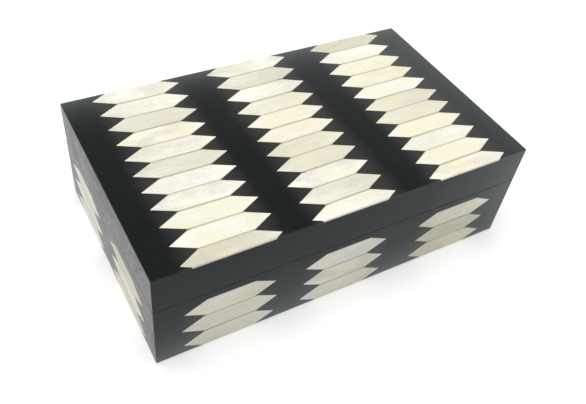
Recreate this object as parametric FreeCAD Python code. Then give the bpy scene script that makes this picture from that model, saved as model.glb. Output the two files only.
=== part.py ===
import FreeCAD, Part
import math
import os

# A low hinged wooden box with pointed hexagonal bone tiles let flush into black sheets.
# Millimetres. The origin is under the middle of the box, on the surface that it stands on. +X runs along the
# length, +Y to the back, where the hinges are, and +Z up. The lid is shut.

os.makedirs("parts", exist_ok=True)
V = FreeCAD.Vector

# Overall size and the split between lid and base
box_length = 254.0
box_depth = 152.4
box_height = 76.2
lid_height = 27.0
seam_gap = 0.22
edge_radius = 0.5
rim_radius = 0.2

# Wooden carcase
wall_thickness = 8.5
bottom_thickness = 5.0
lid_panel_thickness = 5.0
panel_rebate = 4.5
base_fingers = 5
lid_fingers = 3

# Felt under the base and on the floor inside
base_felt_thickness = 1.0
base_felt_inset = 3.0
lining_thickness = 1.0
lining_clearance = 0.3

# Black sheets, which come down almost to the surface, and what all the tiles in them share
sheet_thickness = 1.4
sheet_lift = 0.2
tile_point = 13.3
tile_joint = 0.36
joint_wander = 0.28
seam_margin = 4.0

# Tiles on the lid
lid_tile_length = 58.5
lid_tile_pitch = 14.4
lid_margin = 17.5
lid_middle_shift = -2.0
back_row_inset = 5.8

# Tiles on the long sides of the base, front and back
long_tile_length = 59.0
long_tile_pitch = 14.8
long_margin = 16.6
long_middle_shift = -3.4
long_row_rise = 6.9

# Tiles on the ends of the base, left and right
end_tile_length = 55.3
end_tile_pitch = 14.2
end_rear_margin = 9.0
end_front_margin = 16.2
end_row_rise = 5.2

# How the hand-cut tiles stray from row to row. A rule is a fixed shift, the share of a wave, its turn per row and its
# start in radians, with shift and share counted in reaches. Each lid column has a rule for its first and its last tips,
# and leans at either end. Joints wave as well.
wander_reach = 1.0
lid_tips = {
    "left": [(0.1, 0.8, 0.35, 1.0), (-0.1, 0.7, 1.55, 0.1)],
    "middle": [(0.35, 1.4, 0.54, -0.1), (0.1, 2.9, 0.32, 2.2)],
    "right": [(-1.3, 0.75, 1.3, 2.05), (0.6, 0.7, 1.1, 2.85)],
}
lid_leans = {"left": [-0.5, -0.95], "middle": [-0.5, 0.25], "right": [0.1, 0.45]}
lid_line_wave = (0.9, 0.53, 2.85)
base_tip_wave = (1.1, 2.6)
base_tip_start = 3.0
base_group_lag = 0.9
base_end_lag = 3.0
straight = (0.0, 0.0, 0.0, 0.0)
joint_wander_turn = 2.4

# Hinges
hinge_length = 30.0
hinge_inset = 57.0
barrel_inset = 0.2
barrel_clearance = 0.4
knuckles = 3
knuckle_radius = 1.8
knuckle_gap = 0.2
pin_radius = 0.8
pin_clearance = 0.05
pin_head_radius = 1.3
pin_head_length = 0.5
leaf_margin = 1.0
leaf_thickness = 1.2
leaf_clearance = 0.1
opening_angle = 100.0
bevel_clearance = 0.2

# Hinge screws
screw_length = 9.0
screw_shank_radius = 0.8
screw_head_radius = 1.6
screw_point_length = 2.0
screw_spacing = 16.0
screw_clearance = 0.05
screw_slot_width = 0.5
screw_slot_depth = 0.4
screw_turn = 137.5

# Places that follow from these
half_length = box_length / 2
half_depth = box_depth / 2
seam_height = box_height - lid_height
base_rim = seam_height - seam_gap / 2
lid_rim = seam_height + seam_gap / 2
carcase_x = half_length - sheet_thickness
carcase_y = half_depth - sheet_thickness
inside_x = carcase_x - wall_thickness
inside_y = carcase_y - wall_thickness
base_floor = base_felt_thickness + bottom_thickness
lid_deck = box_height - sheet_thickness
lid_ceiling = lid_deck - lid_panel_thickness
pin_y = half_depth - barrel_inset - knuckle_radius
leaf_front = inside_y + leaf_margin
leaf_back = pin_y - knuckle_radius - barrel_clearance
screw_y = (leaf_front + leaf_back) / 2
hinge_middles = {"left": hinge_inset - half_length, "right": half_length - hinge_inset}


def block(x, y, z):
    """A box given by its low and high values along each axis."""
    return Part.makeBox(x[1] - x[0], y[1] - y[0], z[1] - z[0], V(x[0], y[0], z[0]))


def rod(radius, low, high):
    """A round bar along the hinge line from one x to another."""
    return Part.makeCylinder(radius, high - low, V(low, pin_y, seam_height), V(1, 0, 0))


def prism(points, sweep):
    face = Part.Face(Part.makePolygon(points + points[:1]))
    return face.extrude(sweep)


def eased_block(z, rim):
    """The outside of the lid or of the base between two heights, its edges rounded, and only just so at its rim."""
    def at_rim(edge):
        return all(math.isclose(vertex.Z, rim) for vertex in edge.Vertexes)

    solid = block((-half_length, half_length), (-half_depth, half_depth), z)
    solid = solid.makeFillet(edge_radius, [edge for edge in solid.Edges if not at_rim(edge)])
    return solid.makeFillet(rim_radius, [edge for edge in solid.Edges if at_rim(edge)])


def save(name, shape):
    """Write one piece, or a group of like pieces that stay separate solids."""
    solids = shape.removeSplitter().Solids
    shape = solids[0] if len(solids) == 1 else Part.makeCompound(solids)
    shape.exportStep("parts/" + name + ".step")
    print(name, len(solids), "solid(s)", round(shape.Volume, 1), "mm3")


# Screws: made standing on the origin, then moved to a rim, head up on the base and head down under the lid

def screw_outline(extra):
    """Half a countersunk screw from the middle of its head to its point, grown by extra."""
    head = screw_head_radius + extra
    shank = screw_shank_radius + extra
    return [
        V(0, 0, 0),
        V(head, 0, 0),
        V(shank, 0, shank - head),
        V(shank, 0, screw_point_length - screw_length),
        V(0, 0, -screw_length - extra),
    ]


def turned(outline):
    face = Part.Face(Part.makePolygon(outline + outline[:1]))
    return face.revolve(V(0, 0, 0), V(0, 0, 1), 360)


def stood(shape, x, rim, on_base):
    if not on_base:
        shape.rotate(V(0, 0, 0), V(1, 0, 0), 180)
    shape.translate(V(x, screw_y, rim))
    return shape


def screw_places(middle):
    return [middle - screw_spacing / 2, middle + screw_spacing / 2]


def leaf_screws(middle, rim, on_base):
    """The two slotted screws of a leaf, their heads flush with the rim, each driven home to its own angle."""
    screws = []
    for number, x in enumerate(screw_places(middle)):
        slot = block((-screw_head_radius, screw_head_radius), (-screw_slot_width / 2, screw_slot_width / 2),
                     (-screw_slot_depth, 0))
        screw = turned(screw_outline(0)).cut(slot)
        screw.rotate(V(0, 0, 0), V(0, 0, 1), screw_turn * number + x)
        screws.append(stood(screw, x, rim, on_base))
    return screws


def screw_holes(middle, rim, on_base):
    return [stood(turned(screw_outline(screw_clearance)), x, rim, on_base) for x in screw_places(middle)]


# Hinges: the base leaf owns the outer knuckles and the lid leaf the one between

def knuckle_span(middle, place):
    """Low and high x of a knuckle, counted from the left."""
    length = (hinge_length - (knuckles - 1) * knuckle_gap) / knuckles
    low = middle - hinge_length / 2 + place * (length + knuckle_gap)
    return (low, low + length)


def leaf_heights(rim, on_base):
    return (rim - leaf_thickness, rim) if on_base else (rim, rim + leaf_thickness)


def hinge_leaf(middle, rim, on_base):
    """A flat leaf let into the rim, with tabs that run back into its own knuckles round the pin."""
    heights = leaf_heights(rim, on_base)
    ends = (middle - hinge_length / 2, middle + hinge_length / 2)
    leaf = block(ends, (leaf_front, leaf_back), heights)
    for place in range(0 if on_base else 1, knuckles, 2):
        span = knuckle_span(middle, place)
        leaf = leaf.fuse([block(span, (leaf_back, pin_y), heights), rod(knuckle_radius, *span)])
    return leaf.cut([rod(pin_radius + pin_clearance, *ends)] + screw_holes(middle, rim, on_base))


def hinge_pin(middle):
    """A round pin through the knuckles, spread into a head at each end."""
    low = middle - hinge_length / 2
    high = middle + hinge_length / 2
    heads = [rod(pin_head_radius, low - pin_head_length, low), rod(pin_head_radius, high, high + pin_head_length)]
    return rod(pin_radius, low, high).fuse(heads)


def hinge_room(middle, rim, on_base):
    """What a hinge takes out of the back rim: its barrel's groove, its leaf's mortise and its screw holes."""
    reach = hinge_length / 2 + pin_head_length + barrel_clearance
    groove = rod(knuckle_radius + barrel_clearance, middle - reach, middle + reach)
    half = hinge_length / 2 + leaf_clearance
    mortise = block((middle - half, middle + half), (leaf_front - leaf_clearance, pin_y), leaf_heights(rim, on_base))
    return [groove, mortise] + screw_holes(middle, rim, on_base)


def back_bevel():
    """The V along the back of the seam, whose two faces come together when the lid is fully open."""
    bevel = math.radians(opening_angle / 2)
    root = pin_y - bevel_clearance / math.sin(bevel)
    mouth = half_depth + edge_radius
    rise = (mouth - root) * math.tan(bevel)
    section = [
        V(-half_length, root, seam_height),
        V(-half_length, mouth, seam_height + rise),
        V(-half_length, mouth, seam_height - rise),
    ]
    return prism(section, V(box_length, 0, 0))


base_relief = [back_bevel()]
lid_relief = [back_bevel()]
base_screws = []
lid_screws = []
for side, middle in hinge_middles.items():
    save(side + "_hinge_base_leaf", hinge_leaf(middle, base_rim, True))
    save(side + "_hinge_lid_leaf", hinge_leaf(middle, lid_rim, False))
    save(side + "_hinge_pin", hinge_pin(middle))
    base_screws += leaf_screws(middle, base_rim, True)
    lid_screws += leaf_screws(middle, lid_rim, False)
    base_relief += hinge_room(middle, base_rim, True)
    lid_relief += hinge_room(middle, lid_rim, False)
save("base_hinge_screws", Part.makeCompound(base_screws))
save("lid_hinge_screws", Part.makeCompound(lid_screws))


# Carcase: walls with finger joints at the corners, and panels let into rebates

def finger_walls(bottom, top, fingers):
    """Front and back walls own the first, third ... finger of each corner, and the side walls the others."""
    x_runs = {"left": (-carcase_x, -inside_x), "right": (inside_x, carcase_x)}
    y_runs = {"front": (-carcase_y, -inside_y), "back": (inside_y, carcase_y)}
    walls = {end: block((-inside_x, inside_x), y, (bottom, top)) for end, y in y_runs.items()}
    walls.update({side: block(x, (-inside_y, inside_y), (bottom, top)) for side, x in x_runs.items()})
    height = (top - bottom) / fingers
    for number in range(fingers):
        low = bottom + number * height
        for side, x in x_runs.items():
            for end, y in y_runs.items():
                owner = end if number % 2 == 0 else side
                walls[owner] = walls[owner].fuse(block(x, y, (low, low + height)))
    return walls


def panel(bottom, top):
    """A panel that reaches into the walls' rebates on all four sides."""
    reach_x = inside_x + panel_rebate
    reach_y = inside_y + panel_rebate
    return block((-reach_x, reach_x), (-reach_y, reach_y), (bottom, top))


base_panel = panel(base_felt_thickness, base_floor)
lid_panel = panel(lid_ceiling, lid_deck)
save("base_bottom_panel", base_panel)
save("lid_top_panel", lid_panel)
for side, wall in finger_walls(base_felt_thickness, base_rim, base_fingers).items():
    save("base_" + side + "_wall", wall.cut([base_panel] + base_relief))
for side, wall in finger_walls(lid_rim, lid_deck, lid_fingers).items():
    save("lid_" + side + "_wall", wall.cut([lid_panel] + lid_relief))


# Felts: one glued under the base, one laid on the floor inside

felt_x = half_length - base_felt_inset
felt_y = half_depth - base_felt_inset
save("base_felt", block((-felt_x, felt_x), (-felt_y, felt_y), (0, base_felt_thickness)))
lining_x = inside_x - lining_clearance
lining_y = inside_y - lining_clearance
save("floor_lining", block((-lining_x, lining_x), (-lining_y, lining_y), (base_floor, base_floor + lining_thickness)))


# Inlay: each face has a middle point on the outside of the box, u along its rows of tiles and v across them

faces = {
    "top": {"middle": V(0, 0, box_height), "u": V(1, 0, 0), "v": V(0, 1, 0), "inwards": V(0, 0, -1)},
    "front": {"middle": V(0, -half_depth, 0), "u": V(1, 0, 0), "v": V(0, 0, 1), "inwards": V(0, 1, 0)},
    "back": {"middle": V(0, half_depth, 0), "u": V(-1, 0, 0), "v": V(0, 0, 1), "inwards": V(0, -1, 0)},
    "left": {"middle": V(-half_length, 0, 0), "u": V(0, -1, 0), "v": V(0, 0, 1), "inwards": V(1, 0, 0)},
    "right": {"middle": V(half_length, 0, 0), "u": V(0, 1, 0), "v": V(0, 0, 1), "inwards": V(-1, 0, 0)},
}


def wander(rule, row):
    shift, share, turn, start = rule
    return wander_reach * (shift + share * math.sin(turn * row + start))


def joint_width(number, start):
    """Width of the joint before the row of that number."""
    return tile_joint + joint_wander * math.sin(joint_wander_turn * number + start)


def group_end(tip, first_line, pitch, tip_rule, line_rule):
    """Where the tips at one end of a group are, by row: u along the face and v across it."""
    return lambda row: (tip + wander(tip_rule, row), first_line + pitch * row + wander(line_rule, row))


def tile_rows(face, rows, ends, start):
    """Pointed hexagons through the sheet's thickness. A joint lies half a row before or after a tile's tips."""
    tiles = []
    for row in range(rows):
        tips = [end(row) for end in ends]
        edges = []
        for number in (row, row + 1):
            edge = []
            for end, tip, inwards in zip(ends, tips, (tile_point, -tile_point)):
                line = end(number - 0.5)[1]
                half_joint = joint_width(number, start + len(edge)) / 2
                edge.append((tip[0] + inwards, line + math.copysign(half_joint, tip[1] - line)))
            edges.append(edge)
        outline = [tips[0]] + edges[0] + [tips[1]] + edges[1][::-1]
        points = [face["middle"] + face["u"] * u + face["v"] * v for u, v in outline]
        tiles.append(prism(points, face["inwards"] * sheet_thickness))
    return tiles


def lid_column(column, middle, number):
    """Tiles from the back edge to the front, as long as a row's middle line is still on the lid."""
    back_line = half_depth - back_row_inset
    rows = 1 + int((back_line + half_depth) // lid_tile_pitch)
    tips = (middle - lid_tile_length / 2, middle + lid_tile_length / 2)
    ends = [group_end(tip, back_line, -lid_tile_pitch, rule, (lean, *lid_line_wave))
            for tip, rule, lean in zip(tips, lid_tips[column], lid_leans[column])]
    return tile_rows(faces["top"], rows, ends, number)


def base_group(side, middle, number):
    """Tiles from the bottom edge up, as long as a whole tile keeps clear of the seam."""
    length, pitch, rise = base_tiles[side]
    first_line = sheet_lift + rise
    rows = 1 + int((seam_height - seam_margin - pitch / 2 - first_line) // pitch)
    start = base_tip_start + base_group_lag * number
    rules = [(0.0, *base_tip_wave, start), (0.0, *base_tip_wave, start + base_end_lag)]
    tips = (middle - length / 2, middle + length / 2)
    ends = [group_end(tip, first_line, pitch, rule, straight) for tip, rule in zip(tips, rules)]
    return tile_rows(faces[side], rows, ends, number)


def save_sheet(name, sheet, envelope, groups, relief):
    """Save a sheet and the tiles let into it, all trimmed to the outside of the box."""
    sheet = sheet.common(envelope)
    for group_name, group in groups.items():
        save(group_name, Part.makeCompound([shape.common(envelope) for shape in group]))
        sheet = sheet.cut(group)
    save(name, sheet.cut(relief))


def columns(length, margin, middle_shift):
    """Middles of three columns along the box: one near each end, and one near the middle."""
    outer = half_length - margin - length / 2
    return {"left": -outer, "middle": middle_shift, "right": outer}


long_tiles = (long_tile_length, long_tile_pitch, long_row_rise)
end_tiles = (end_tile_length, end_tile_pitch, end_row_rise)
base_tiles = {"front": long_tiles, "back": long_tiles, "left": end_tiles, "right": end_tiles}
front_middles = columns(long_tile_length, long_margin, long_middle_shift)
rear_y = half_depth - end_rear_margin - end_tile_length / 2
front_y = end_front_margin + end_tile_length / 2 - half_depth
base_groups = {
    "front": front_middles,
    "back": {name: -middle for name, middle in front_middles.items()},
    "left": {"rear": -rear_y, "front": -front_y},
    "right": {"rear": rear_y, "front": front_y},
}
sheet_runs = {
    "front": ((-half_length, half_length), (-half_depth, -carcase_y)),
    "back": ((-half_length, half_length), (carcase_y, half_depth)),
    "left": ((-half_length, -carcase_x), (-carcase_y, carcase_y)),
    "right": ((carcase_x, half_length), (-carcase_y, carcase_y)),
}

# Lid: the top sheet runs over the edges of the four plain side sheets
lid_envelope = eased_block((lid_rim, box_height), lid_rim)
lid_middles = columns(lid_tile_length, lid_margin, lid_middle_shift)
lid_columns = {"top_" + name + "_tiles": lid_column(name, middle, number)
               for number, (name, middle) in enumerate(lid_middles.items())}
top_sheet = block((-half_length, half_length), (-half_depth, half_depth), (lid_deck, box_height))
save_sheet("lid_top_field", top_sheet, lid_envelope, lid_columns, lid_relief)
for side, (x, y) in sheet_runs.items():
    save_sheet("lid_" + side + "_field", block(x, y, (lid_rim, lid_deck)), lid_envelope, {}, lid_relief)

# Base: every side has its groups of tiles
base_envelope = eased_block((sheet_lift, base_rim), base_rim)
for side, (x, y) in sheet_runs.items():
    side_groups = {side + "_" + name + "_tiles": base_group(side, middle, number)
                   for number, (name, middle) in enumerate(base_groups[side].items())}
    side_sheet = block(x, y, (sheet_lift, base_rim))
    save_sheet("base_" + side + "_field", side_sheet, base_envelope, side_groups, base_relief)
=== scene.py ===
# %% [markdown]
# # Dressing an inlaid box
# The box is a low wooden case with a hinged lid. Thin black sheets cover its outside, and rows of pointed
# bone tiles are let into them flush. The imported model holds every piece at its real size and place, in
# metres, with the length along X, the hinges at the back (+Y) and the floor at Z = 0. This lesson gives
# those pieces their finishes, cuts the tiles and the felts anew as finer meshes, and sets up a plain
# studio round them. All lengths below are in metres, and colours are linear red, green, blue and alpha.
#
# The first cell loads the model and notes its box before anything is added.

# %% load the imported model
import math

import bpy
import numpy as np
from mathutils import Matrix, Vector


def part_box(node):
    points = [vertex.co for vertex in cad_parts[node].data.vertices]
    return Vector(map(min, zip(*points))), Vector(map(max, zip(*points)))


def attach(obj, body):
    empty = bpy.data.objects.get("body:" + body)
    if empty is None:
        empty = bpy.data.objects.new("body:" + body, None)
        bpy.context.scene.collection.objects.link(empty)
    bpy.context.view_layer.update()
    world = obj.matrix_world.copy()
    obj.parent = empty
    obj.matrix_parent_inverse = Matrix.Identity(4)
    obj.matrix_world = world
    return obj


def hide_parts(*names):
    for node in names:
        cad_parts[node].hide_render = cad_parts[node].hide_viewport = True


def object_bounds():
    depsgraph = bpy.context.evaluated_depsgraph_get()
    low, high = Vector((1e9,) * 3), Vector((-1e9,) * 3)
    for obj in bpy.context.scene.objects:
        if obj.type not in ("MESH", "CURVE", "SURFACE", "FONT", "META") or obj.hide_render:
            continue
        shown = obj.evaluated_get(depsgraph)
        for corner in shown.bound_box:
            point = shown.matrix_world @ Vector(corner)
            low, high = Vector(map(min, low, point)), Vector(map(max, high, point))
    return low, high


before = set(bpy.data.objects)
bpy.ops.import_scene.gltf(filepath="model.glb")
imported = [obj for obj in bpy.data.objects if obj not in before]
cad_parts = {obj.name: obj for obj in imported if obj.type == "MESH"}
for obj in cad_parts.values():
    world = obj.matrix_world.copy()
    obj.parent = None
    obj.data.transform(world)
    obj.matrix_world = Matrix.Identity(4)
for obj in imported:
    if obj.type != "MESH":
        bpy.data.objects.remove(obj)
cad_low, cad_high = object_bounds()
scene = bpy.context.scene
print("box in metres", [round(size, 4) for size in cad_high - cad_low])

# %% [markdown]
# ## The camera
# The picture looks down on the front left corner, a little tilted. A camera could be set by eye, but the
# real size of the box is known, so the place, the turn and the lens were worked out from its corners, and
# the camera stands where the real one stood. The turn is in degrees about X, Y and Z, and the lens in
# millimetres. The tilt is a turn about the camera's own line of sight, and is part of the three angles.
# Nothing is out of focus, so depth of field stays off.

# %% the camera
camera_place = (-0.1902, -0.2758, 0.3488)
camera_turn = (44.265, -5.855, -29.307)
camera_lens = 41.81

camera_data = bpy.data.cameras.new("camera")
camera_data.lens = camera_lens
camera = bpy.data.objects.new("camera", camera_data)
camera.location = camera_place
camera.rotation_euler = [math.radians(angle) for angle in camera_turn]
scene.collection.objects.link(camera)
scene.camera = camera
print("camera", camera_place, "lens", camera_lens, "mm")

# %% [markdown]
# ## Small helpers for node graphs
# A material in Blender is a graph of nodes. Written out in full, each node takes a line to make, a line
# for every value and a line for every link. The helper `put` does all three at once: what is given for an
# input is either a plain value or another node's output to link from, which `fill` tells apart. The
# others give names to the sums that every finish needs.

# %% helpers that make nodes
def fill(tree, node, inputs):
    """Give each input, by name or number, a plain value or a link from another node's output."""
    for name, value in inputs.items():
        if isinstance(value, bpy.types.NodeSocket):
            tree.links.new(value, node.inputs[name])
        else:
            node.inputs[name].default_value = value


def put(tree, kind, inputs=None, **settings):
    """Add a node with its settings, and fill its inputs."""
    node = tree.nodes.new("ShaderNode" + kind)
    for name, value in settings.items():
        setattr(node, name, value)
    fill(tree, node, inputs or {})
    return node


def new_effect(name, inputs, outputs):
    """A node group with its named inputs and outputs, for an effect that several finishes share."""
    group = bpy.data.node_groups.new(name, "ShaderNodeTree")
    for label, kind in inputs.items():
        group.interface.new_socket(label, in_out="INPUT", socket_type="NodeSocket" + kind)
    for label in outputs:
        group.interface.new_socket(label, in_out="OUTPUT", socket_type="NodeSocketFloat")
    return group, group.nodes.new("NodeGroupInput").outputs, group.nodes.new("NodeGroupOutput").inputs


def effect(tree, group, inputs):
    """Place an effect in a material with its own values."""
    return put(tree, "Group", inputs, node_tree=group).outputs


def new_finish(name):
    """A material with an empty graph but for its shader, which is handed back with the graph."""
    material = bpy.data.materials.new(name)
    material.use_nodes = True
    tree = material.node_tree
    return material, tree, tree.nodes["Principled BSDF"]


print("helpers that make nodes ready")

# %% helpers for sums
quarter = math.pi / 2


def maths(tree, operation, first, second=0.0, clamp=False):
    """One sum of two values."""
    return put(tree, "Math", {0: first, 1: second}, operation=operation, use_clamp=clamp).outputs[0]


def span(tree, value, low, high, to_low=0.0, to_high=1.0):
    """Stretch a value from one span to another with soft ends, and stop there."""
    inputs = {0: value, 1: low, 2: high, 3: to_low, 4: to_high}
    return put(tree, "MapRange", inputs, interpolation_type="SMOOTHSTEP").outputs[0]


def evenly(tree, share, low, high):
    """Stretch a share from 0 to 1 evenly to another span."""
    return maths(tree, "ADD", maths(tree, "MULTIPLY", share, high - low), low)


def thinning(tree, distance, reach):
    """1 at no distance, falling to a little over a third with every reach: exp(-distance / reach)."""
    return maths(tree, "EXPONENT", maths(tree, "DIVIDE", distance, -reach))


def blended(tree, share, first, second):
    """Go from one colour to another by a share."""
    return put(tree, "Mix", {0: share, 6: first, 7: second}, data_type="RGBA").outputs[2]


def part_blended(tree, share, most, first, second):
    """Go from one colour towards another by a share, but by no more than the most."""
    return blended(tree, maths(tree, "MULTIPLY", share, most), first, second)


print("helpers for sums ready")

# %% helpers for patterns
def where(tree):
    """The place of a point on its piece."""
    return put(tree, "TexCoord").outputs["Object"]


def turned(tree, vector, turn):
    """Coordinates turned about Z."""
    return put(tree, "Mapping", {"Vector": vector, "Rotation": (0.0, 0.0, turn)}).outputs[0]


def stretched(tree, vector, sizes):
    """Divide coordinates by the size of a pattern along each axis."""
    return put(tree, "VectorMath", {0: vector, 1: sizes}, operation="DIVIDE").outputs[0]


def clouds(tree, vector, detail, seed=0.0, scale=1.0):
    """Smooth noise from 0 to 1, whose blobs are about one unit across."""
    inputs = {"Vector": vector, "W": seed, "Scale": scale, "Detail": detail}
    return put(tree, "TexNoise", inputs, noise_dimensions="4D").outputs[0]


def wavering(tree, vector, detail):
    """Smooth noise about 0, from -0.5 to 0.5."""
    return maths(tree, "SUBTRACT", clouds(tree, vector, detail), 0.5)


def relief(tree, height, depth):
    """A normal that tilts with a height from 0 to 1, depth metres deep."""
    return put(tree, "Bump", {"Height": height, "Distance": depth, "Strength": 1.0}).outputs[0]


print("helpers for patterns ready")

# %% [markdown]
# ## The studio
# The box stands on a plain white sweep, and nothing else is near it. Lamps and white cards could be set
# up as in a real studio, but one broad lamp and a plain sky give the same light with fewer values.
#
# The floor is a light, dull plane that lies a hair below the box, so that the two share no surface. Rays
# that go straight to the eye see a little light added to it, so that it is white where nothing shades it,
# and it keeps the shadow of the box.

# %% the floor
white = (1.0, 1.0, 1.0, 1.0)
floor_reach = 6.0
floor_drop = 0.0002
floor_colour = (0.75, 0.75, 0.75, 1.0)
floor_glow = 0.315


def straight_to_eye(tree):
    """1 for rays from the camera, and for rays that come by way of gloss or glass."""
    path = put(tree, "LightPath").outputs
    gloss_or_glass = maths(tree, "MAXIMUM", path["Is Glossy Ray"], path["Is Transmission Ray"])
    return maths(tree, "MAXIMUM", path["Is Camera Ray"], gloss_or_glass)


def studio_floor():
    """A large square that only the studio owns, dull and nearly white."""
    mesh = bpy.data.meshes.new("floor")
    ends = ((-1, -1), (1, -1), (1, 1), (-1, 1))
    corners = [(floor_reach * x, floor_reach * y, -floor_drop) for x, y in ends]
    mesh.from_pydata(corners, [], [(0, 1, 2, 3)])
    floor = bpy.data.objects.new("floor", mesh)
    scene.collection.objects.link(floor)
    material, tree, shader = new_finish("white_sweep")
    fill(tree, shader, {
        "Base Color": floor_colour,
        "Roughness": 1.0,
        "Specular IOR Level": 0.0,
        "Emission Color": white,
        "Emission Strength": maths(tree, "MULTIPLY", straight_to_eye(tree), floor_glow),
    })
    mesh.materials.append(material)


studio_floor()
print("floor", 2 * floor_reach, "metres wide")

# %% [markdown]
# Polished black shows what is round it. A photo of a room could be wrapped round the box for that. A
# plain sky does, because the gloss is too dull to show more than light and dark. Rays that bounce off
# gloss see a bright room up to about a third of the way to the zenith and a darker ceiling above: that is
# what makes the far half of the lid lighter than the near half. Rays from dull surfaces see one even,
# dimmer sky, so that the lamp keeps its say.

# %% the sky
sky_level = 0.225
room_level = 1.0
ceiling_level = 0.09
# Heights of a direction one metre long: the room ends at the first, the ceiling begins at the second.
bright_below = 0.49
dark_above = 0.61


def studio_sky():
    """White light from all round: the room for gloss and the camera, an even sky for dull surfaces."""
    world = bpy.data.worlds.new("studio")
    world.use_nodes = True
    tree = world.node_tree
    height = put(tree, "SeparateXYZ", {0: put(tree, "TexCoord").outputs["Generated"]}).outputs["Z"]
    room = span(tree, height, bright_below, dark_above, room_level, ceiling_level)
    levels = {0: straight_to_eye(tree), 2: sky_level, 3: room}
    level = put(tree, "Mix", levels, data_type="FLOAT").outputs[0]
    fill(tree, tree.nodes["Background"], {"Color": white, "Strength": level})
    scene.world = world


studio_sky()
print("sky", sky_level, "room", room_level, "ceiling", ceiling_level)

# %% [markdown]
# The lamp hangs nearly overhead, a little to the left, and is as wide as a large window, so shadows are
# soft. It could be a panel close by. A far lamp with a wide angle lights all of the box alike, as a
# window across the room does. The black lid shows no image of a lamp, so rays that bounce off gloss don't
# see this one.

# %% the lamp
# The width of the lamp and its turn are angles in degrees.
lamp_level = 2.74
lamp_width = 60.0
lamp_turn = (0.0, -8.0, 0.0)


def studio_lamp():
    """One far, broad lamp that gloss doesn't see."""
    lamp = bpy.data.lights.new("window", "SUN")
    lamp.energy = lamp_level
    lamp.angle = math.radians(lamp_width)
    window = bpy.data.objects.new("window", lamp)
    window.rotation_euler = [math.radians(angle) for angle in lamp_turn]
    window.visible_glossy = False
    scene.collection.objects.link(window)


studio_lamp()
scene.view_settings.view_transform = "Standard"
print("lamp", lamp_level, "and", lamp_width, "degrees wide")

# %% [markdown]
# ## Effects that several finishes share
# Bone, wood, brushed brass and the black sheets all have a grain: streaks many times longer than they are
# wide. Polished sheets and brass have smudges, broad patches that are a little duller where hands have
# been. Brass and bare wood are rubbed brighter along their edges.
#
# Each of these could be an image laid over the pieces. Noise needs no unwrapping, never repeats and is
# changed by a number. For the grain its coordinates are divided by a streak's length along the grain and
# by its width across it. Edges are found by a bevelled normal, which leans away from the true one only
# near an edge.

# %% grain
streak_detail = 3.0
hair_detail = 2.0
hairs_per_streak = 5.0

grain, given, made = new_effect(
    "grain",
    {"Along": "Vector", "Length": "Float", "Width": "Float", "Seed": "Float"},
    ["Streaks", "Hairs"],
)
streak_sides = {0: given["Length"], 1: given["Width"], 2: given["Width"]}
streak_sizes = put(grain, "CombineXYZ", streak_sides).outputs[0]
streak_place = stretched(grain, given["Along"], streak_sizes)
grain.links.new(clouds(grain, streak_place, streak_detail, given["Seed"]), made["Streaks"])
grain.links.new(clouds(grain, streak_place, hair_detail, given["Seed"], hairs_per_streak), made["Hairs"])


def grained(tree, along, length, width, seed):
    """Place the grain in a material, with a streak's length and width and a seed for its noise."""
    return effect(tree, grain, {"Along": along, "Length": length, "Width": width, "Seed": seed})


print("grain", [socket.name for socket in made[:-1]])

# %% smudges
smudge_detail = 4.0
smudge_span = (0.35, 0.7)

smudges, given, made = new_effect("smudges", {"Place": "Vector", "Size": "Float"}, ["Dull"])
smudge_sides = {0: given["Size"], 1: given["Size"], 2: given["Size"]}
smudge_sizes = put(smudges, "CombineXYZ", smudge_sides).outputs[0]
smudge_noise = clouds(smudges, stretched(smudges, given["Place"], smudge_sizes), smudge_detail)
smudges.links.new(span(smudges, smudge_noise, *smudge_span), made["Dull"])
print("smudges", [socket.name for socket in made[:-1]])

# %% rubbed edges
edge_reach = 0.0008
edge_samples = 6
edge_lean = (0.97, 0.8)
edge_blobs = (0.003, 0.003, 0.003)
edge_detail = 3.0

rubbed, given, made = new_effect("rubbed_edges", {"Place": "Vector"}, ["Rub"])
leaning = put(rubbed, "Bevel", {"Radius": edge_reach}, samples=edge_samples).outputs[0]
true_normal = put(rubbed, "NewGeometry").outputs["Normal"]
same_way = put(rubbed, "VectorMath", {0: leaning, 1: true_normal}, operation="DOT_PRODUCT").outputs["Value"]
near_edge = span(rubbed, same_way, *edge_lean)
broken = clouds(rubbed, stretched(rubbed, given["Place"], edge_blobs), edge_detail)
rubbed.links.new(maths(rubbed, "MULTIPLY", near_edge, broken), made["Rub"])
print("rubbed edges", [socket.name for socket in made[:-1]])

# %% [markdown]
# ## Where the tiles are
# The black sheets need to know where the joints between tiles run, and the tiles themselves are cut anew
# further on. Their corners could be typed in again, but a change to the model would then pass them by, so
# they are read from it. The mesh of a group holds several solids. They are told apart by spreading the
# smallest corner number over each solid's triangles. Every face of the box is then looked at straight on,
# along axes of its own, and a tile's outline is the ring of its corners at the bottom of the sheet, in
# the order of their angles round the middle.

# %% corners of the tiles in the model
views_of_sides = {
    "top": ((1, 0, 0), (0, 1, 0), (0, 0, 1)),
    "front": ((1, 0, 0), (0, 0, 1), (0, -1, 0)),
    "back": ((-1, 0, 0), (0, 0, 1), (0, 1, 0)),
    "left": ((0, -1, 0), (0, 0, 1), (-1, 0, 0)),
    "right": ((0, 1, 0), (0, 0, 1), (1, 0, 0)),
}
nearly = 1e-5
same_place_digits = 7


def mesh_arrays(node):
    """Corner places and triangles of a node of the model, with the corners that coincide counted once."""
    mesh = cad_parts[node].data
    places = np.empty(len(mesh.vertices) * 3)
    mesh.vertices.foreach_get("co", places)
    mesh.calc_loop_triangles()
    triangles = np.empty(len(mesh.loop_triangles) * 3, dtype=int)
    mesh.loop_triangles.foreach_get("vertices", triangles)
    rounded = places.reshape(-1, 3).round(same_place_digits)
    places, first = np.unique(rounded, axis=0, return_inverse=True)
    return places, first.ravel()[triangles].reshape(-1, 3)


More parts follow.
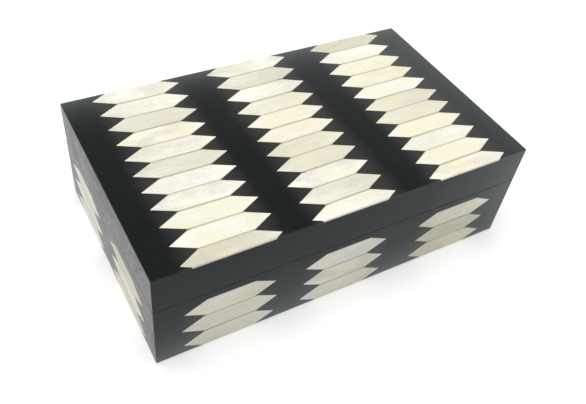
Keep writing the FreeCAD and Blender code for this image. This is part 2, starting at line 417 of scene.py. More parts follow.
def separate_solids(count, triangles):
    """A number for each corner, alike within a solid.

    The smallest number in a triangle spreads to its corners, again and again until nothing changes.
    """
    labels = np.arange(count)
    while True:
        spread = labels.copy()
        np.minimum.at(spread, triangles, labels[triangles].min(axis=1, keepdims=True))
        if (spread == labels).all():
            return labels
        labels = spread


def view_of(group):
    """The axes of the face that a group of tiles lies in: to the right, upwards and outwards."""
    return np.array(views_of_sides[group.split("_")[0]], dtype=float)


def tile_outlines(group):
    """A group's outlines in the face's own axes, counter-clockwise, and the face's height and thickness."""
    places, triangles = mesh_arrays(group)
    labels = separate_solids(len(places), triangles)
    across = places @ view_of(group).T
    face = across[:, 2].max()
    bottom = across[:, 2].min()
    outlines = []
    for label in np.unique(labels):
        corners = across[(labels == label) & (across[:, 2] < bottom + nearly), :2]
        from_middle = corners - corners.mean(axis=0)
        outlines.append(corners[np.argsort(np.arctan2(from_middle[:, 1], from_middle[:, 0]))])
    return outlines, face, face - bottom


tile_nodes = sorted(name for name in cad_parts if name.endswith("_tiles"))
print("groups of tiles", len(tile_nodes))

# %% [markdown]
# ## Black sheets
# The ground is a dense black sheet, stained through, sanded and polished to a satin. At arm's length it
# looks plain, so what it has is small: a grain that runs along the face, a polish that is duller in
# patches where hands have been, and edges that are rubbed a little brown.
#
# A bevelled normal would find the edges of the tile openings too, which the tiles fill and nothing rubs.
# So here the edges of the box are found from coordinates: close to an edge, two of the distances to the
# faces of the box are small. The middle one of three distances says how far the edge is.

# %% edges of the box
seam_height = (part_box("lid_front_wall")[0].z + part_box("base_front_wall")[1].z) / 2
base_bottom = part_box("base_front_field")[0].z
patch_sizes = (0.006, 0.006, 0.006)
patch_detail = 3.0

# Besides the rubbed edges, this effect gives two masks of painted sheen: pale grey laid into the black where
# reflected light brightens it.
box_edges_and_sheen, given, made = new_effect("box_edges_and_sheen", {"Place": "Vector"}, ["Rub", "Painted sheen", "End sheen"])
tree = box_edges_and_sheen
there = put(tree, "SeparateXYZ", {0: given["Place"]}).outputs
from_end = maths(tree, "SUBTRACT", cad_high.x, maths(tree, "ABSOLUTE", there["X"]))
from_front = maths(tree, "SUBTRACT", cad_high.y, maths(tree, "ABSOLUTE", there["Y"]))
from_top = maths(tree, "SUBTRACT", cad_high.z, there["Z"])
from_bottom = maths(tree, "SUBTRACT", there["Z"], base_bottom)
from_seam = maths(tree, "ABSOLUTE", maths(tree, "SUBTRACT", there["Z"], seam_height))
up_down = maths(tree, "MINIMUM", maths(tree, "MINIMUM", from_top, from_bottom), from_seam)
nearer = maths(tree, "MINIMUM", from_end, from_front)
farther = maths(tree, "MAXIMUM", from_end, from_front)
from_edge = maths(tree, "MAXIMUM", nearer, maths(tree, "MINIMUM", farther, up_down))
patches = clouds(tree, stretched(tree, given["Place"], patch_sizes), patch_detail)
close = span(tree, from_edge, edge_reach, 0.0)
tree.links.new(maths(tree, "MULTIPLY", close, patches), made["Rub"])
print("edges of the box, seam at", round(seam_height, 5))

# %% [markdown]
# A pale grey is painted over the black at the foot of the box and, more thinly, along the back edge of the
# lid, and towards the right end of the box. It is painted sheen: reflected light laid into the colour. This
# could be painted on by hand, but a formula is enough: each of the three thins out by the same share with
# every millimetre, which is an exponential. Patches of noise make it a little uneven.

# %% painted sheen on the box
# Painted sheen: reaches in metres over which it thins out at the foot, along the back of the lid and at the
# right end.
foot_sheen = 0.0145
back_sheen = 0.011
back_sheen_share = 0.45
back_sheen_depth = 0.002
right_sheen = 0.03
patch_span = (0.2, 0.7)
patch_sheen = (0.85, 1.0)

from_back = maths(tree, "SUBTRACT", cad_high.y, there["Y"])
from_right = maths(tree, "SUBTRACT", cad_high.x, there["X"])
on_top = span(tree, from_top, back_sheen_depth, 0.0, 0.0, back_sheen_share)
at_back = maths(tree, "MULTIPLY", thinning(tree, from_back, back_sheen), on_top)
foot_and_back_sheen = maths(tree, "MAXIMUM", thinning(tree, from_bottom, foot_sheen), at_back)
uneven = span(tree, patches, *patch_span, *patch_sheen)
tree.links.new(maths(tree, "MULTIPLY", foot_and_back_sheen, uneven), made["Painted sheen"])
tree.links.new(maths(tree, "MULTIPLY", thinning(tree, from_right, right_sheen), uneven), made["End sheen"])
print("edges and painted sheen", [socket.name for socket in made[:-1]])

# %% [markdown]
# The thin strips between the tiles of a group are a light brown filler. They begin and end at the tiles'
# innermost corners, where the points start. In the notches between the points some filler was smeared
# over the black when the face was sanded. It is a faint haze, whose soft edge wanders. Both could be
# meshes of their own, but they are flush with the sheet, so two masks in its finish show them.

# %% beside the tiles
# The haze ends a little way outside the tips of a group, and is full further in.
haze_ends = -0.004
haze_full = 0.011
haze_wander = 0.007
haze_blobs = (0.009, 0.009, 0.009)
haze_detail = 3.0
# On the sides of the box it also fades out upwards, towards the top of the group.
haze_sink = 0.008


def tiles_in(sheet):
    """The groups of tiles that are let into a sheet. The lid's sides have none."""
    body, side, _ = sheet.split("_")
    plain = body == "lid" and side != "top"
    return [] if plain else [name for name in tile_nodes if name.startswith(side + "_")]


def joint_ends(group, axis):
    """Where the joints of a group begin and end along an axis: at the innermost corners on either side."""
    along = np.concatenate(tile_outlines(group)[0])[:, 0] * view_of(group)[0, axis]
    middle = (along.min() + along.max()) / 2
    return along[along < middle].max(), along[along > middle].min()


def between(tree, value, low, high):
    """How far inside a span a value lies: half the span, less the distance from its middle."""
    aside = maths(tree, "ABSOLUTE", maths(tree, "SUBTRACT", value, (low + high) / 2))
    return maths(tree, "SUBTRACT", (high - low) / 2, aside)


def beside_tiles(tree, place, axis, groups):
    """Two masks: 1 in the joints of the groups, and 1 deep in their notches, fading out past the tips."""
    there = put(tree, "SeparateXYZ", {0: place}).outputs
    far_outside = -cad_high.x
    in_joints = far_outside
    in_groups = far_outside
    for group in groups:
        low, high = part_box(group)
        in_joints = maths(tree, "MAXIMUM", in_joints, between(tree, there[axis], *joint_ends(group, axis)))
        in_groups = maths(tree, "MAXIMUM", in_groups, between(tree, there[axis], low[axis], high[axis]))
    drift = wavering(tree, stretched(tree, place, haze_blobs), haze_detail)
    wandered = maths(tree, "ADD", in_groups, maths(tree, "MULTIPLY", drift, haze_wander))
    notches = span(tree, wandered, haze_ends, haze_full)
    joints = maths(tree, "GREATER_THAN", in_joints, 0.0)
    if groups[0].startswith("top_"):
        return joints, notches
    under_top = maths(tree, "SUBTRACT", high.z, there["Z"])
    joints = maths(tree, "MULTIPLY", joints, maths(tree, "GREATER_THAN", under_top, 0.0))
    return joints, maths(tree, "MULTIPLY", notches, span(tree, under_top, 0.0, haze_sink))


print("sheets with tiles", [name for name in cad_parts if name.endswith("_field") and tiles_in(name)])

# %% [markdown]
# The colour is laid on in layers: black stain, haze, rubbed edges, painted sheen, and filler last. Each
# layer is a colour and a mask that says where it lies. The painted sheen towards the right end shows most on
# the long sides and less on the lid, and none on the end itself, so its share follows the way the surface
# faces.

# %% colour of a black sheet
black = (0.0100, 0.0119, 0.0121, 1.0)
smeared_grey = (0.043, 0.0428, 0.040, 1.0)
rubbed_brown = (0.05, 0.042, 0.036, 1.0)
rubbed_most = 0.3
# A pale grey painted over the black where reflected light brightens it: painted sheen.
painted_sheen_grey = (0.185, 0.203, 0.213, 1.0)
# How much painted sheen the long sides and the top get towards the right end.
front_end_sheen = 0.66
top_end_sheen = 0.24
filler_brown = (0.48, 0.43, 0.33, 1.0)
facing_span = (0.3, 0.9)


def runs_across(name):
    """Whether a piece runs across the box: left and right pieces do, all others run along it."""
    return "_left_" in name or "_right_" in name


def facing_shares(tree):
    """How much the surface faces up or down, and how much it faces one of the two ends."""
    normal = put(tree, "TexCoord").outputs["Normal"]
    either_way = put(tree, "VectorMath", {0: normal}, operation="ABSOLUTE").outputs[0]
    facing = put(tree, "SeparateXYZ", {0: either_way}).outputs
    return span(tree, facing["Z"], *facing_span), span(tree, facing["X"], *facing_span)


def sheet_colour(tree, place, sheet, edges, upwards, endwards):
    """Black, with haze in the notches, brown edges, grey painted sheen and filler laid over it in that
    order.
    """
    axis = 1 if runs_across(sheet) else 0
    groups = tiles_in(sheet)
    in_joint, in_notch = beside_tiles(tree, place, axis, groups) if groups else (0.0, 0.0)
    # Painted sheen towards the right end: most on the long sides, less on top, none on the end itself.
    end_sheen_most = span(tree, upwards, 0.0, 1.0, front_end_sheen, top_end_sheen)
    end_sheen_most = maths(tree, "SUBTRACT", end_sheen_most, endwards, clamp=True)
    end_sheen = maths(tree, "MULTIPLY", edges["End sheen"], end_sheen_most)
    colour = blended(tree, in_notch, black, smeared_grey)
    colour = part_blended(tree, edges["Rub"], rubbed_most, colour, rubbed_brown)
    colour = blended(tree, maths(tree, "MAXIMUM", edges["Painted sheen"], end_sheen), colour, painted_sheen_grey)
    return blended(tree, in_joint, colour, filler_brown)


print("colour of a black sheet ready")

# %% [markdown]
# All sheets share one polish, so that nothing tells where one sheet covers the edge of the next. The top
# and the two ends are polished more than the long sides. They could have a finish of their own, but the
# rounded edges between them would then show a line. So a clear coat lies over the satin, with a weight
# that follows the way the surface faces. The polish is finely mottled, most of all at the ends. Only the
# way the grain runs differs from sheet to sheet.

# %% black sheets
hand_size = 0.035
satin_roughness = (0.32, 0.40)
hair_span = (0.3, 0.7)
hair_roughness = (-0.02, 0.03)
rubbed_rougher = 0.15
top_smoother = 0.16
mottle_sizes = (0.0028, 0.0011, 0.0011)
mottle_detail = 3.0
long_mottle = 0.2
end_mottle = 0.5
# A grain is given by a streak's length, its width and a seed.
sheet_grain = (0.06, 0.0022, 3.0)
sheet_relief = 0.000008
black_ior = 1.26
black_shine = (0.81, 1.0, 0.99, 1.0)
top_polish = 0.5
end_polish = 0.215
coat_roughness = 0.2
coat_ior = 1.5


def sheet_roughness(tree, place, along, hairs, rub, upwards, endwards):
    """A satin that is duller in smudges, along hairs and on rubbed edges, smoother on top and mottled."""
    dull = effect(tree, smudges, {"Place": place, "Size": hand_size})["Dull"]
    mottle = wavering(tree, stretched(tree, along, mottle_sizes), mottle_detail)
    mottle_share = span(tree, endwards, 0.0, 1.0, long_mottle, end_mottle)
    roughness = span(tree, dull, 0.0, 1.0, *satin_roughness)
    roughness = maths(tree, "ADD", roughness, span(tree, hairs, *hair_span, *hair_roughness))
    roughness = maths(tree, "ADD", roughness, maths(tree, "MULTIPLY", rub, rubbed_rougher))
    roughness = maths(tree, "SUBTRACT", roughness, maths(tree, "MULTIPLY", upwards, top_smoother))
    return maths(tree, "ADD", roughness, maths(tree, "MULTIPLY", mottle, mottle_share))


def black_sheet(sheet):
    """The finish of one sheet, with its grain along X, or along Y at the two ends of the box."""
    material, tree, shader = new_finish("black_" + sheet)
    place = where(tree)
    along = turned(tree, place, quarter if runs_across(sheet) else 0.0)
    hairs = grained(tree, along, *sheet_grain)["Hairs"]
    edges = effect(tree, box_edges_and_sheen, {"Place": place})
    upwards, endwards = facing_shares(tree)
    top_coat = maths(tree, "MULTIPLY", upwards, top_polish)
    end_coat = maths(tree, "MULTIPLY", endwards, end_polish)
    fill(tree, shader, {
        "Base Color": sheet_colour(tree, place, sheet, edges, upwards, endwards),
        "Roughness": sheet_roughness(tree, place, along, hairs, edges["Rub"], upwards, endwards),
        "IOR": black_ior,
        "Specular Tint": black_shine,
        "Coat Weight": maths(tree, "ADD", top_coat, end_coat),
        "Coat Roughness": coat_roughness,
        "Coat IOR": coat_ior,
        "Normal": relief(tree, hairs, sheet_relief),
    })
    return material


black_sheets = {name: black_sheet(name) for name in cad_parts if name.endswith("_field")}
print("black sheets", sorted(black_sheets))

# %% [markdown]
# ## Bone
# Each tile is sawn from a bone's wall, so no two are alike: some are nearly white, some creamy, some a
# greyish beige, and warm patches show where the cut came near the marrow. Each tile could have a finish
# of its own. One is enough for all, because it reads a map that lies along the tile, from its middle, and
# six numbers. Four are the tile's own: a seed for the noise, a tone, a warmth, and a slope by which the
# tone changes from one end to the other. The fifth falls to 0 at the rim, where dirt and old glue stay in
# the joint. The sixth is 1 at corners that lie in a joint, and 0 at the tips and where the box's edge
# trims the tile.
#
# What shows in the bone, apart from streaks, are layers of one kind: noise with blobs of some length and
# width, a detail, a place further on in the noise so that two layers differ, and the span of it that goes
# from none to all.

# %% layers of bone
bone_layers = {
    "marrow": {"sizes": (0.024, 0.014), "detail": 3.0, "further": 0.0, "span": (0.45, 0.65)},
    "clouds": {"sizes": (0.019, 0.009), "detail": 2.0, "further": 7.0, "span": (0.33, 0.67)},
    "cream": {"sizes": (0.018, 0.010), "detail": 1.5, "further": 13.0, "span": (0.36, 0.64)},
    "specks": {"sizes": (0.0016, 0.0011), "detail": 2.0, "further": 0.0, "span": (0.35, 0.65)},
    "pores": {"sizes": (0.0012, 0.0003), "detail": 1.0, "further": 0.0, "span": (0.70, 0.82)},
}


def bone_noise(tree, along, seed):
    """The layers of noise by name, each from 0 to 1. The map is flat, so a third size changes nothing."""
    layers = {}
    for name, layer in bone_layers.items():
        further = maths(tree, "ADD", seed, layer["further"])
        noise = clouds(tree, stretched(tree, along, (*layer["sizes"], 1.0)), layer["detail"], further)
        layers[name] = span(tree, noise, *layer["span"])
    return layers


print("layers of bone", list(bone_layers))

# %% [markdown]
# The colour is laid on in layers too. The yellow comes and goes within a tile, and the tips are painted
# white as a painted highlight.
# The beige follows the tile's tone and slope, with faint streaks along the tile. Some tiles have soft
# grey clouds, and all have fine grey specks. Over these lie warm marrow, tiny dark pores, and the dirt of
# the joints.

# %% colour of bone
bone_white = (0.960, 0.951, 0.852, 1.0)
bone_cream = (0.945, 0.919, 0.712, 1.0)
bone_beige = (0.65, 0.63, 0.485, 1.0)
bone_grey = (0.66, 0.645, 0.56, 1.0)
bone_marrow = (0.915, 0.82, 0.58, 1.0)
joint_dirt = (0.33, 0.28, 0.21, 1.0)
half_tile = 0.029
# Painted highlight at the points: where along the tile it begins, and how much yellow it takes away.
tip_highlight_span = (0.5, 1.1)
tip_highlight = 0.6
yellow_change = (-0.5, 0.5)
ageing_span = (0.35, 0.65)
ageing_streaks = (-0.08, 0.13)
cloudy_seeds = (0.3, 1.0)
cloudy_strength = (0.1, 1.1)
grey_clouds = (-0.26, 0.52)
grey_specks = (-0.10, 0.17)
warm_span = (0.4, 1.0)
marrow_most = 0.7
pore_most = 0.35
rim_span = (0.7, 0.0)
dirt_most = 0.45


def bone_shares(tree, along, own, layers, streaks):
    """How yellow, how beige and how grey the bone is."""
    lengthwise = maths(tree, "DIVIDE", put(tree, "SeparateXYZ", {0: along}).outputs["X"], half_tile)
    # Painted highlight: the tips lose their yellow and go white.
    painted_tip_highlight = span(tree, maths(tree, "ABSOLUTE", lengthwise), *tip_highlight_span, 0.0, tip_highlight)
    yellow = maths(tree, "ADD", own["warmth"], evenly(tree, layers["cream"], *yellow_change))
    yellow = maths(tree, "SUBTRACT", yellow, painted_tip_highlight, clamp=True)
    aged = maths(tree, "ADD", own["tone"], maths(tree, "MULTIPLY", lengthwise, own["slope"]))
    aged = maths(tree, "ADD", aged, span(tree, streaks, *ageing_span, *ageing_streaks), clamp=True)
    cloudy = span(tree, maths(tree, "FRACT", own["seed"]), *cloudy_seeds, *cloudy_strength)
    greyed = maths(tree, "MULTIPLY", cloudy, evenly(tree, layers["clouds"], *grey_clouds))
    greyed = maths(tree, "ADD", greyed, evenly(tree, layers["specks"], *grey_specks), clamp=True)
    return yellow, aged, greyed


def bone_colour(tree, along, own, layers, streaks):
    """White to cream, with beige, grey, marrow, pores and the dirt of joints laid over it in that order."""
    yellow, aged, greyed = bone_shares(tree, along, own, layers, streaks)
    near_marrow = maths(tree, "MULTIPLY", layers["marrow"], span(tree, own["warmth"], *warm_span))
    dirt = maths(tree, "MULTIPLY", span(tree, own["rim"], *rim_span), own["joint"])
    colour = blended(tree, yellow, bone_white, bone_cream)
    colour = blended(tree, aged, colour, bone_beige)
    colour = blended(tree, greyed, colour, bone_grey)
    colour = part_blended(tree, near_marrow, marrow_most, colour, bone_marrow)
    colour = part_blended(tree, layers["pores"], pore_most, colour, joint_dirt)
    return part_blended(tree, dirt, dirt_most, colour, joint_dirt)


print("colour of bone ready")

# %% [markdown]
# Polished bone is smooth, with a shine that changes along the streaks. Its streaks and pores could be cut
# into the mesh, but they are only a hundredth of a millimetre deep, so a tilted normal is enough.

# %% bone
tile_numbers = ("seed", "tone", "warmth", "slope", "rim", "joint")
streak_size = (0.016, 0.0016)
gloss_span = (0.25, 0.75)
bone_roughness = (0.30, 0.42)
bone_ior = 1.37
bone_relief = 0.00001


def bone_finish():
    """One finish for all tiles, which reads the map and the numbers of each."""
    material, tree, shader = new_finish("bone")
    own = {}
    for name in tile_numbers:
        own[name] = put(tree, "Attribute", attribute_name="tile_" + name).outputs["Fac"]
    along = put(tree, "UVMap", uv_map="along_tile").outputs[0]
    lines = grained(tree, along, *streak_size, own["seed"])
    layers = bone_noise(tree, along, own["seed"])
    fill(tree, shader, {
        "Base Color": bone_colour(tree, along, own, layers, lines["Streaks"]),
        "Roughness": span(tree, lines["Streaks"], *gloss_span, *bone_roughness),
        "IOR": bone_ior,
        "Normal": relief(tree, maths(tree, "SUBTRACT", lines["Hairs"], layers["pores"]), bone_relief),
    })
    return material


bone = bone_finish()
print("bone ready")

# %% [markdown]
# ## Case wood
# Under the sheets the case is a warm brown hardwood, seen inside when the lid is up. Its year rings are
# wide wavering bands along the board, with finer streaks and short dark pores over them. A board could be
# unwrapped and grained face by face, like veneer. Here the coordinates are those of the solid, so the
# pattern runs through a board, and the finger joints show end grain where they should.

# %% case wood
wood_pale = (0.36, 0.19, 0.085, 1.0)
wood_dark = (0.15, 0.066, 0.028, 1.0)
wood_pore = (0.05, 0.022, 0.01, 1.0)
wood_rubbed = (0.45, 0.27, 0.14, 1.0)
wood_ior = 1.5
wood_relief = 0.00003
wood_roughness = (0.42, 0.58)
ring_grain = (0.19, 0.0085, 1.0)
fine_grain = (0.05, 0.0016, 5.0)
pore_grain = (0.02, 0.0011, 9.0)
ring_count = 6.0
ring_span = (0.1, 0.5)
ring_share = 0.5
fine_share = 0.6
wood_paler = 0.1
open_span = (0.62, 0.72)
open_most = 0.7
bare_most = 0.6
shade_span = (0.2, 0.9)


def case_wood(name, turn):
    """Brown hardwood whose grain runs along X, or along Y when it is turned by a right angle."""
    material, tree, shader = new_finish(name)
    place = where(tree)
    along = turned(tree, place, turn)
    fine = grained(tree, along, *fine_grain)
    rings = maths(tree, "MULTIPLY", grained(tree, along, *ring_grain)["Streaks"], ring_count)
    from_ring = maths(tree, "ABSOLUTE", maths(tree, "SUBTRACT", maths(tree, "FRACT", rings), 0.5))
    band = maths(tree, "MULTIPLY", span(tree, from_ring, *ring_span), ring_share)
    shade = maths(tree, "ADD", band, maths(tree, "MULTIPLY", fine["Streaks"], fine_share))
    open_pore = span(tree, grained(tree, along, *pore_grain)["Hairs"], *open_span)
    rub = effect(tree, rubbed, {"Place": place})["Rub"]
    colour = blended(tree, maths(tree, "SUBTRACT", shade, wood_paler, clamp=True), wood_pale, wood_dark)
    colour = part_blended(tree, open_pore, open_most, colour, wood_pore)
    colour = part_blended(tree, rub, bare_most, colour, wood_rubbed)
    fill(tree, shader, {
        "Base Color": colour,
        "Roughness": span(tree, shade, *shade_span, *wood_roughness),
        "IOR": wood_ior,
        "Normal": relief(tree, maths(tree, "SUBTRACT", fine["Hairs"], open_pore), wood_relief),
    })
    return material


wood_lengthwise = case_wood("case_wood_lengthwise", 0.0)
wood_crosswise = case_wood("case_wood_crosswise", quarter)
print("case wood ready")

# %% [markdown]
# ## Brass
# The hinges and screws are brass that has been handled: brownish where it has tarnished, bright where
# edges rub, with fine brush lines along the hinge. Bright and dull faces could be picked by hand, but
# hands and air don't keep to faces, so two masks share the metal out between bright and brown.

# %% brass
brass_bright = (0.83, 0.62, 0.28, 1.0)
brass_tarnish = (0.34, 0.22, 0.09, 1.0)
brass_roughness = (0.26, 0.46)
brass_relief = 0.000004
brush_lines = (0.02, 0.0004, 2.0)
tarnish_size = 0.006
tarnish_most = 0.65


def brass_finish():
    """Metal that is browner and rougher in patches, except where its edges are rubbed."""
    material, tree, shader = new_finish("brass")
    place = where(tree)
    brushed = grained(tree, place, *brush_lines)
    dull = effect(tree, smudges, {"Place": place, "Size": tarnish_size})["Dull"]
    rub = effect(tree, rubbed, {"Place": place})["Rub"]
    tarnish = maths(tree, "SUBTRACT", maths(tree, "MULTIPLY", dull, tarnish_most), rub, clamp=True)
    fill(tree, shader, {
        "Base Color": blended(tree, tarnish, brass_bright, brass_tarnish),
        "Metallic": 1.0,
        "Roughness": span(tree, dull, 0.0, 1.0, *brass_roughness),
        "Normal": relief(tree, brushed["Hairs"], brass_relief),
    })
    return material


brass = brass_finish()
print("brass ready")

# %% [markdown]
# ## Felt
# Felt is wool pressed into a mat: short hairs that lie every way, a nap that catches light, and a colour
# that varies softly. Real hairs could be grown on it, but in a mat this dense they would be too many.
# Three layers of fine streaks, each turned to another direction, look the same from here. A hair shows
# where any of the three is high, so the layers join by their maximum.

# %% hairs of felt
hair_sizes = (0.003, 0.0003, 0.0003)
hair_turn = math.pi / 3
clump_sizes = (0.008, 0.008, 0.008)
clump_detail = 3.0

felt_hairs, given, made = new_effect("felt_hairs", {"Place": "Vector"}, ["Hairs", "Clumps"])
hair_layers = []
for number in range(3):
    hair_place = turned(felt_hairs, given["Place"], number * hair_turn)
    hair_layers.append(clouds(felt_hairs, stretched(felt_hairs, hair_place, hair_sizes), hair_detail))
two_layers = maths(felt_hairs, "MAXIMUM", hair_layers[0], hair_layers[1])
clumps = clouds(felt_hairs, stretched(felt_hairs, given["Place"], clump_sizes), clump_detail)
felt_hairs.links.new(maths(felt_hairs, "MAXIMUM", two_layers, hair_layers[2]), made["Hairs"])
felt_hairs.links.new(clumps, made["Clumps"])
print("felt", [socket.name for socket in made[:-1]])

# %% felt
# Each felt has a deep colour, painted shade between the hairs, and a pale one, painted light on them.
lining_shaded = (0.085, 0.006, 0.012, 1.0)
lining_lit = (0.19, 0.018, 0.03, 1.0)
lining_sheen = (0.6, 0.12, 0.16, 1.0)
underside_shaded = (0.010, 0.010, 0.011, 1.0)
underside_lit = (0.035, 0.035, 0.037, 1.0)
under_sheen = (0.25, 0.25, 0.27, 1.0)
lit_hairs = (0.45, 0.8)
clump_span = (0.2, 0.8)
clump_light = (0.5, 1.0)
felt_roughness = 0.95
felt_gloss = 0.1
nap_weight = 0.35
nap_roughness = 0.5
felt_relief = 0.00025


def felt_finish(name, deep, pale, sheen):
    """Wool that goes from a deep colour between the hairs, painted shade, to a pale one on them, painted
    light, with a nap.
    """
    material, tree, shader = new_finish(name)
    mat = effect(tree, felt_hairs, {"Place": where(tree)})
    lit = span(tree, mat["Hairs"], *lit_hairs)
    lit = maths(tree, "MULTIPLY", lit, span(tree, mat["Clumps"], *clump_span, *clump_light))
    fill(tree, shader, {
        "Base Color": blended(tree, lit, deep, pale),
        "Roughness": felt_roughness,
        "Specular IOR Level": felt_gloss,
        "Sheen Weight": nap_weight,
        "Sheen Roughness": nap_roughness,
        "Sheen Tint": sheen,
        "Normal": relief(tree, mat["Hairs"], felt_relief),
    })
    return material


lining_felt = felt_finish("lining_felt", lining_shaded, lining_lit, lining_sheen)
base_felt = felt_finish("base_felt", underside_shaded, underside_lit, under_sheen)
print("felts ready")

# %% [markdown]
# ## Tiles
# A tile is a flat pointed hexagon, as thick as the sheet that it is let into. Its solid in the model is a
# plain prism, which is right in size but razor sharp, and its points don't say which tile they belong to.
# A bevel could soften it, but would bring no numbers, so each group is cut anew: a profile is carried
# round the outline of every tile, up the wall, over a slightly eased edge and onto the face. Where a tile
# ends at the edge of the box, the profile follows the box's own rounded edge.
#
# Every ring of the profile lies at one depth, with each side moved inwards by what its own rounding asks
# at that depth. The corner between two moved sides is where the two lines cross, which is one formula for
# whole arrays.

# %% a tile's surface
box_round = 0.0005
box_round_steps = 7
tile_ease = 0.00006
tile_ease_steps = 4
rim_steps = np.array([0.00015, 0.0004, 0.0012])
same_depth_digits = 9


def quarter_depths(radius, steps):
    """Depths at even steps of a quarter circle, from its full depth up to the face."""
    return radius * (1 - np.sin(np.linspace(0, quarter, steps)))


def moved_corners(outline, insets):
    """The outline with each side moved inwards by its own inset.

    With n the way inwards and d the inset, two moved sides cross at a shift s with n1.s = d1 and n2.s = d2.
    """
    sides = np.roll(outline, -1, axis=0) - outline
    inwards = np.stack([-sides[:, 1], sides[:, 0]], axis=1) / np.linalg.norm(sides, axis=1, keepdims=True)
    before = np.roll(inwards, 1, axis=0)
    inset_before = np.roll(insets, 1, axis=-1)
    crossing = before[:, 0] * inwards[:, 1] - before[:, 1] * inwards[:, 0]
    shift_u = (inset_before * inwards[:, 1] - insets * before[:, 1]) / crossing
    shift_v = (insets * before[:, 0] - inset_before * inwards[:, 0]) / crossing
    return outline + np.stack([shift_u, shift_v], axis=-1)


def tile_rings(outline, on_edge, thickness):
    """Rings of a tile's surface as (ring, corner, u v depth), and how far each ring is from the rim.

    At depth d a side that is rounded by r has moved inwards by r - sqrt(r^2 - (r - d)^2), and by nothing
    below r. On the face the rings go on inwards by the rim's steps.
    """
    radii = np.where(on_edge, box_round, tile_ease)
    box_arc = quarter_depths(box_round, box_round_steps)
    tile_arc = quarter_depths(tile_ease, tile_ease_steps)
    arcs = np.concatenate([box_arc, tile_arc, [thickness]])
    depths = np.unique(arcs.round(same_depth_digits))[::-1]
    short = np.clip(radii - depths[:, None], 0, None)
    insets = radii - np.sqrt(radii ** 2 - short ** 2)
    insets = np.concatenate([insets, radii + rim_steps[:, None]])
    rims = np.concatenate([np.zeros(len(depths)), rim_steps / rim_steps[-1]])
    depths = np.concatenate([depths, np.zeros(len(rim_steps))])
    rings = moved_corners(outline, insets)
    return np.dstack([rings, np.broadcast_to(depths[:, None], rings.shape[:2])]), rims


def ring_faces(rings, corners, start):
    """Quads between neighbouring rings, and a cap on the first and last ring."""
    ring, corner = np.meshgrid(np.arange(rings - 1), np.arange(corners), indexing="ij")
    following = (corner + 1) % corners
    low = start + ring * corners
    high = low + corners
    quads = np.stack([low + corner, low + following, high + following, high + corner], axis=-1)
    bottom = start + np.arange(corners)[::-1]
    top = start + (rings - 1) * corners + np.arange(corners)
    return quads.reshape(-1, 4).tolist() + [bottom.tolist(), top.tolist()]


print("edge eased by", tile_ease, "and rings on the face at", rim_steps.tolist())

# %% [markdown]
# The numbers of a tile stand for the piece of bone that it was sawn from. They could be chosen tile by
# tile, but a maker takes the pieces as they come, so they are drawn at random. The seed of the draws is
# fixed. It was picked because its light and dark tiles fall nearest to those of the real box, though most
# tiles still differ. The tone is a power of an even draw: most tiles are pale, and a few are dark.

# %% numbers of a tile
luck_seed = 7994
tile_luck = np.random.default_rng(luck_seed)
seed_reach = 100
tone_reach = 0.9
tone_bias = 2.6
slope_reach = 0.35


def trimmed_corners(outline, side):
    """Which corners lie on an edge of the box that trims the tile: a long edge of the lid, or the foot."""
    past_edge = np.abs(outline[:, 1]) - cad_high.y if side == "top" else base_bottom - outline[:, 1]
    return past_edge > -nearly


def numbers_of_points(outline, trimmed, rims):
    """A row for each point of a tile: the tile's own four numbers, its ring's rim and its corner's joint."""
    luck = tile_luck.uniform(0, 1, 4)
    own = [seed_reach * luck[0], tone_reach * luck[1] ** tone_bias, luck[2], slope_reach * (2 * luck[3] - 1)]
    lengthwise = outline[:, 0]
    from_tip = np.minimum(lengthwise - lengthwise.min(), lengthwise.max() - lengthwise)
    joint = np.tile((from_tip > nearly) & ~trimmed, len(rims))
    rim = np.repeat(rims, len(outline))
    return np.column_stack([np.tile(own, (len(rim), 1)), rim, joint])


print("numbers of a tile", tile_numbers)

# %% cut the tiles
body_of_tiles = {"top": "lid", "front": "base", "back": "base", "left": "base", "right": "base"}


def tile_mesh(name, points, faces, along, numbers):
    """A mesh with a map along each tile and the tiles' numbers on its points."""
    mesh = bpy.data.meshes.new(name)
    mesh.from_pydata(points, [], faces)
    corner_points = np.empty(len(mesh.loops), dtype=int)
    mesh.loops.foreach_get("vertex_index", corner_points)
    flat_map = mesh.uv_layers.new(name="along_tile")
    flat_map.uv.foreach_set("vector", along[corner_points].astype(np.float32).ravel())
    for column, label in enumerate(tile_numbers):
        values = mesh.attributes.new("tile_" + label, "FLOAT", "POINT")
        values.data.foreach_set("value", numbers[:, column].astype(np.float32))
    mesh.materials.append(bone)
    return mesh


def tile_group(node):
    """Cut all tiles of a group into one mesh that takes the place of the group."""
    side = node.split("_")[0]
    outlines, face, thickness = tile_outlines(node)
    points, faces, along, numbers = [], [], [], []
    for outline in outlines:
        trimmed = trimmed_corners(outline, side)
        rings, rims = tile_rings(outline, trimmed & np.roll(trimmed, -1), thickness)
        faces += ring_faces(len(rings), len(outline), sum(map(len, points)))
        flat = rings.reshape(-1, 3) * (1, 1, -1) + (0, 0, face)
        points.append(flat @ view_of(node))
        along.append(flat[:, :2] - (outline.min(axis=0) + outline.max(axis=0)) / 2)
        numbers.append(numbers_of_points(outline, trimmed, rims))
    whole = [np.concatenate(rows) for rows in (points, along, numbers)]
    mesh = tile_mesh(node + "_cut", whole[0], faces, whole[1], whole[2])
    tiles = bpy.data.objects.new(node + "_cut", mesh)
    scene.collection.objects.link(tiles)
    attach(tiles, body_of_tiles[side])
    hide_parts(node)
    return len(outlines), len(mesh.polygons)


for node in tile_nodes:
    print(node, "tiles and faces", *tile_group(node))

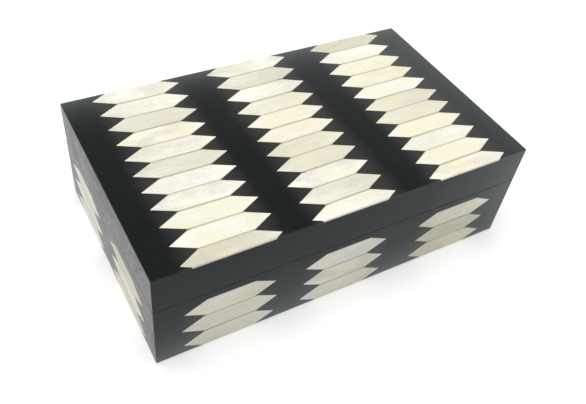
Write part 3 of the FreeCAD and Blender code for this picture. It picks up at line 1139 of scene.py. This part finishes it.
# %% [markdown]
# ## Felts
# Two felts belong to the box: one lies on the floor inside, the other is glued under the base. A cut felt
# has soft edges and is never quite flat. Cloth could be simulated, but these lie flat and don't fold, so
# each is a sheet whose top is a height over a grid: it rises like a quarter circle from the cut edge and
# swells by a fraction of a millimetre in long, low waves. The grid's lines crowd together at the edges,
# where the height changes most. The bottom is flat and shares its rim with the top.

# %% surface of a felt
felt_swell = 0.00012
swell_share = 0.6
grid_lines = (90, 50)
edge_lines = 6
# Waves in radians per metre: two crossing ones with their own starts, and a weaker one aslant.
crossing_waves = (61, 83)
crossing_starts = (1.3, 0.4)
slant_wave = (140, -97)
slant_share = 0.6


def crowded_lines(low, high, edge, count):
    """Grid lines between two ends: even over the middle, and close together within an edge of each end."""
    close_up = edge * (1 - np.cos(np.linspace(0, quarter, edge_lines)))
    middle = np.linspace(low + edge, high - edge, count)
    return np.concatenate([low + close_up[:-1], middle, high - close_up[-2::-1]])


def felt_heights(low, high):
    """Grid places, heights over the bottom, and distances e to the cut edge in thicknesses, at most 1.

    A height is sqrt(1 - (1 - e)^2) times the thickness, which gives way to the waves by the swell.
    """
    thick = high.z - low.z
    x_lines = crowded_lines(low.x, high.x, thick, grid_lines[0])
    y_lines = crowded_lines(low.y, high.y, thick, grid_lines[1])
    x, y = np.meshgrid(x_lines, y_lines, indexing="ij")
    to_edge = np.minimum(np.minimum(x - low.x, high.x - x), np.minimum(y - low.y, high.y - y))
    edge = np.clip(to_edge / thick, 0, 1)
    along_x = np.sin(crossing_waves[0] * x + crossing_starts[0])
    along_y = np.sin(crossing_waves[1] * y + crossing_starts[1])
    waves = along_x * along_y + slant_share * np.sin(slant_wave[0] * x + slant_wave[1] * y)
    swollen = thick - felt_swell + felt_swell * swell_share * waves
    return x, y, np.clip(np.sqrt(1 - (1 - edge) ** 2) * swollen, 0, thick), edge


print("grid of a felt", grid_lines, "and", edge_lines, "lines at each edge")

# %% felts
def felt_sheet(node, material, body):
    """A closed sheet: the heights on top, a flat bottom, and one rim for both."""
    low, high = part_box(node)
    x, y, height, edge = felt_heights(low, high)
    top = np.stack([x, y, low.z + height], axis=-1).reshape(-1, 3)
    bottom = np.stack([x, y, np.full_like(x, low.z)], axis=-1).reshape(-1, 3)
    index = np.arange(x.size).reshape(x.shape)
    quads = np.stack([index[:-1, :-1], index[1:, :-1], index[1:, 1:], index[:-1, 1:]], axis=-1)
    quads = quads.reshape(-1, 4)
    rim = (edge <= 0).ravel()
    under = np.where(rim, np.arange(x.size), np.arange(x.size) + x.size)
    both_sides = np.concatenate([quads, under[quads][:, ::-1]])
    used, renumbered = np.unique(both_sides, return_inverse=True)
    mesh = bpy.data.meshes.new(node + "_cut")
    mesh.from_pydata(np.concatenate([top, bottom])[used], [], renumbered.reshape(-1, 4).tolist())
    mesh.shade_smooth()
    mesh.materials.append(material)
    felt = bpy.data.objects.new(node + "_cut", mesh)
    scene.collection.objects.link(felt)
    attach(felt, body)
    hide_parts(node)
    print(node, "faces", len(mesh.polygons))


felt_sheet("floor_lining", lining_felt, "base")
felt_sheet("base_felt", base_felt, "base")

# %% [markdown]
# ## Finishes for the rest
# Sheets, boards, hinges and screws could be built again, but the meshes of the model have the right
# shapes, so these pieces keep them and only get their finish. A board's name says which way it runs.

# %% finishes for the rest
for name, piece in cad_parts.items():
    if name.endswith("_field"):
        finish = black_sheets[name]
    elif name.endswith(("_wall", "_panel")):
        finish = wood_crosswise if runs_across(name) else wood_lengthwise
    elif "hinge" in name:
        finish = brass
    else:
        continue
    piece.data.materials.clear()
    piece.data.materials.append(finish)
print("finishes given")
